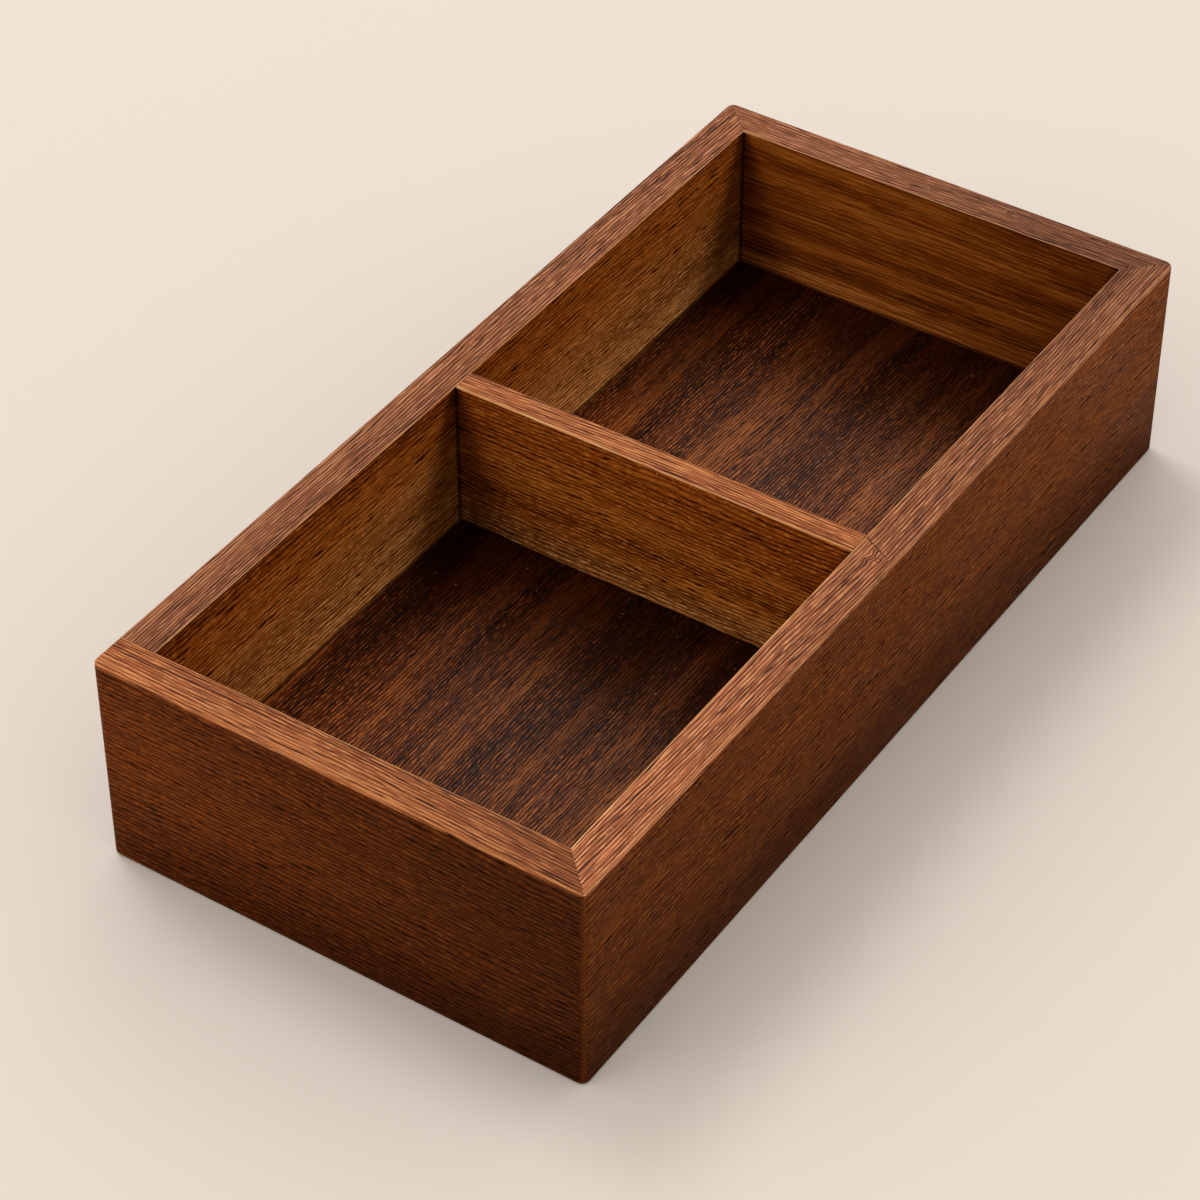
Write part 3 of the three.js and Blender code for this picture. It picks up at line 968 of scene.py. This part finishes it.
def bare_spline_finish():
    """Sawn, unstained wood of the splines, with the grain upright."""
    material, tree, shader = new_material("bare_spline")
    fibres = cloud(tree, spot_on(tree), (0.5 * MM, 0.5 * MM, 12 * MM), 3).outputs[0]
    tone = mix(tree, ease(tree, fibres, *PATCH_RANGE), stain(120, 80, 46), stain(176, 132, 84))
    bump = add(tree, "ShaderNodeBump", {"Strength": 0.3, "Distance": 0.1 * MM, "Height": fibres})
    tree.links.new(tone, shader.inputs["Base Color"])
    tree.links.new(bump.outputs["Normal"], shader.inputs["Normal"])
    shader.inputs["Roughness"].default_value = 0.75
    return material


def make_finishes():
    groups = {
        "grain": wood_grain_group(), "wear": worn_highlit_arris_group(), "corner": painted_corner_shade_group(),
        "specks": speck_group(),
    }
    face_satin = (0.5, 0.02, 0.6)
    edge_satin = (0.45, 0.1, 0.7)
    # painted shade at the base of the outer faces, darker towards the table
    base_shade_tint = (0.6, 0.55, 0.36, 1)
    outer_grain = {
        "Spacing": 1.0, "Length": 8.0, "Grooves": 0.9, "Ridge Highlights": 0.75, "Lines": 0.25, "Bands": 0.2,
    }
    outer = wood_finish(
        "red_stain", groups, (stain(46, 17, 3), stain(99, 45, 11), stain(146, 75, 22)), outer_grain,
        face_satin, base=base_shade_tint, worn=(stain(100, 50, 20), 0.6),
    )
    brown = wood_finish(
        "brown_stain", groups, (stain(42, 18, 4), stain(95, 45, 11), stain(142, 78, 24)), outer_grain,
        face_satin, base=base_shade_tint, worn=(stain(96, 50, 22), 0.6),
    )
    inner = wood_finish(
        "inner_stain", groups,
        (stain(92, 42, 7), stain(166, 88, 24), stain(228, 142, 56)),
        {"Spacing": 0.9, "Length": 9.0, "Grooves": 1.0, "Ridge Highlights": 0.95, "Lines": 0.3, "Bands": 0.4},
        # the pale foot is painted light
        face_satin, inside=True, foot=(1.3, 1.85, 4.2, 1), rim=(1.05, 0.9, 0.8, 1),
    )
    banded = wood_finish(
        "banded_stain", groups,
        (stain(84, 37, 5), stain(151, 75, 16), stain(209, 121, 43)),
        {"Spacing": 1.0, "Length": 22.0, "Grooves": 0.5, "Ridge Highlights": 0.45, "Lines": 0.45, "Bands": 0.6},
        # the pale foot is painted light
        (0.5, 0.02, 0.5), inside=True, foot=(1.6, 1.9, 3.0, 1),
    )
    edge_grain = {
        "Spacing": 0.8, "Length": 20.0, "Ripple": 0.35, "Ridge": 0.28, "Grooves": 1.0, "Ridge Highlights": 0.9,
        "Lines": 0.5, "Bands": 0.25,
    }
    edge = wood_finish(
        "rubbed_highlit_edge", groups,
        (stain(68, 30, 16), stain(177, 102, 61), stain(243, 164, 113)), edge_grain,
        edge_satin, tone="edge_tone", knots=True, worn=(stain(214, 146, 100), 0.5),
    )
    golden_edge = wood_finish(
        "golden_edge", groups,
        (stain(80, 34, 13), stain(177, 96, 48), stain(244, 158, 94)), edge_grain,
        edge_satin, tone="edge_tone", worn=(stain(214, 140, 86), 0.5),
    )
    # pale rounded inner edges: partly worn wood, partly a painted highlight
    arris = wood_finish(
        "rubbed_highlit_arris", groups,
        (stain(188, 110, 58), stain(236, 163, 98), stain(255, 208, 144)),
        {"Spacing": 0.95, "Length": 16.0, "Grooves": 0.2, "Ridge Highlights": 0.3, "Lines": 0.6, "Bands": 0.3},
        (0.4, 0.2, 0.3), tone="edge_tone",
    )
    floor = wood_finish(
        "floor_stain", groups,
        (stain(34, 12, 2), stain(108, 52, 20), stain(196, 114, 56)),
        {"Spacing": 0.85, "Length": 9.0, "Grooves": 1.0, "Ridge Highlights": 1.0, "Lines": 0.35, "Bands": 0.55},
        # the far side is painted shadow, the left painted light and the corners painted shade
        (0.28, 0.12, 0.9), inside=True, far=(0.14, 0.09, 0.03, 1), left=(1.4, 1.3, 1.1, 1),
    )
    under = wood_finish(
        "under_stain", groups,
        (stain(58, 30, 16), stain(96, 54, 30), stain(128, 80, 48)),
        {"Spacing": 1.0, "Length": 16.0, "Grooves": 0.4, "Ridge Highlights": 0.2, "Lines": 0.8, "Bands": 0.4},
        (0.7, 0.2, 0.5),
    )
    return {
        "under": under, "outer": outer, "brown": brown, "inner": inner, "banded": banded, "edge": edge,
        "golden_edge": golden_edge, "arris": arris, "floor": floor,
    }


# Stage

def build_stage():
    bm = bmesh.new()
    bmesh.ops.create_circle(bm, cap_ends=True, radius=TABLE_RADIUS, segments=TABLE_SIDES)
    material, _, shader = new_material("pale_table")
    shader.inputs["Base Color"].default_value = stain(236, 226, 216)
    shader.inputs["Roughness"].default_value = TABLE_ROUGHNESS
    shader.inputs["Specular IOR Level"].default_value = TABLE_SPECULAR
    table = new_piece("table_top", bm, {"table": material})


def area_light(name, position, size, power, colour):
    """A soft round lamp that points at the middle of the table."""
    light = bpy.data.lights.new(name, "AREA")
    light.shape = "DISK"
    light.size = size
    light.energy = power
    light.color = colour
    lamp = bpy.data.objects.new(name, light)
    lamp.location = position
    lamp.rotation_euler = (-Vector(position)).to_track_quat("-Z", "Y").to_euler()
    bpy.context.scene.collection.objects.link(lamp)


def build_light():
    world = bpy.data.worlds.new("soft_room")
    world.use_nodes = True
    background = world.node_tree.nodes["Background"]
    background.inputs["Color"].default_value = ROOM_COLOUR
    background.inputs["Strength"].default_value = ROOM_STRENGTH
    bpy.context.scene.world = world
    area_light("window", position=(-2.7, 1.1, 5.4), size=2.1, power=70.0, colour=(1.0, 1.0, 1.0))
    area_light("back_sheen", position=(-2.2, 3.6, 3.4), size=2.85, power=14.0, colour=(0.96, 0.98, 1.0))
    area_light("front_fill", position=(-2.4, -3.4, 2.8), size=2.6, power=18.0, colour=(1.0, 0.98, 0.95))


def build_camera():
    azimuth = math.radians(CAMERA_AZIMUTH)
    elevation = math.radians(CAMERA_ELEVATION)
    back = Vector((
        math.sin(azimuth) * math.cos(elevation),
        -math.cos(azimuth) * math.cos(elevation),
        math.sin(elevation),
    ))
    lens = bpy.data.cameras.new("camera")
    lens.sensor_width = SENSOR_WIDTH
    lens.lens = CAMERA_LENS
    lens.clip_end = CAMERA_REACH
    camera = bpy.data.objects.new("camera", lens)
    camera.location = CAMERA_AIM + back * CAMERA_DISTANCE
    camera.rotation_euler = (-back).to_track_quat("-Z", "Y").to_euler()
    bpy.context.scene.collection.objects.link(camera)
    bpy.context.scene.camera = camera


bpy.context.scene.view_settings.view_transform = "Standard"
finishes = make_finishes()
wall_finishes = {name: finishes[name] for name in ("under", "outer", "inner", "edge", "arris")}
own_finishes = {
    "front_wall": {"edge": finishes["golden_edge"]},
    "right_wall": {"outer": finishes["brown"]},
    "back_wall": {"inner": finishes["banded"]},
}
for name in WALLS:
    build_wall(name, {**wall_finishes, **own_finishes.get(name, {})})
build_divider({**wall_finishes, "edge": finishes["golden_edge"]})
build_floor({name: finishes[name] for name in ("under", "floor")})
spline_finish = bare_spline_finish()
for corner in CORNERS:
    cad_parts["spline_" + corner].material_slots[0].material = spline_finish
build_stage()
build_light()
build_camera()
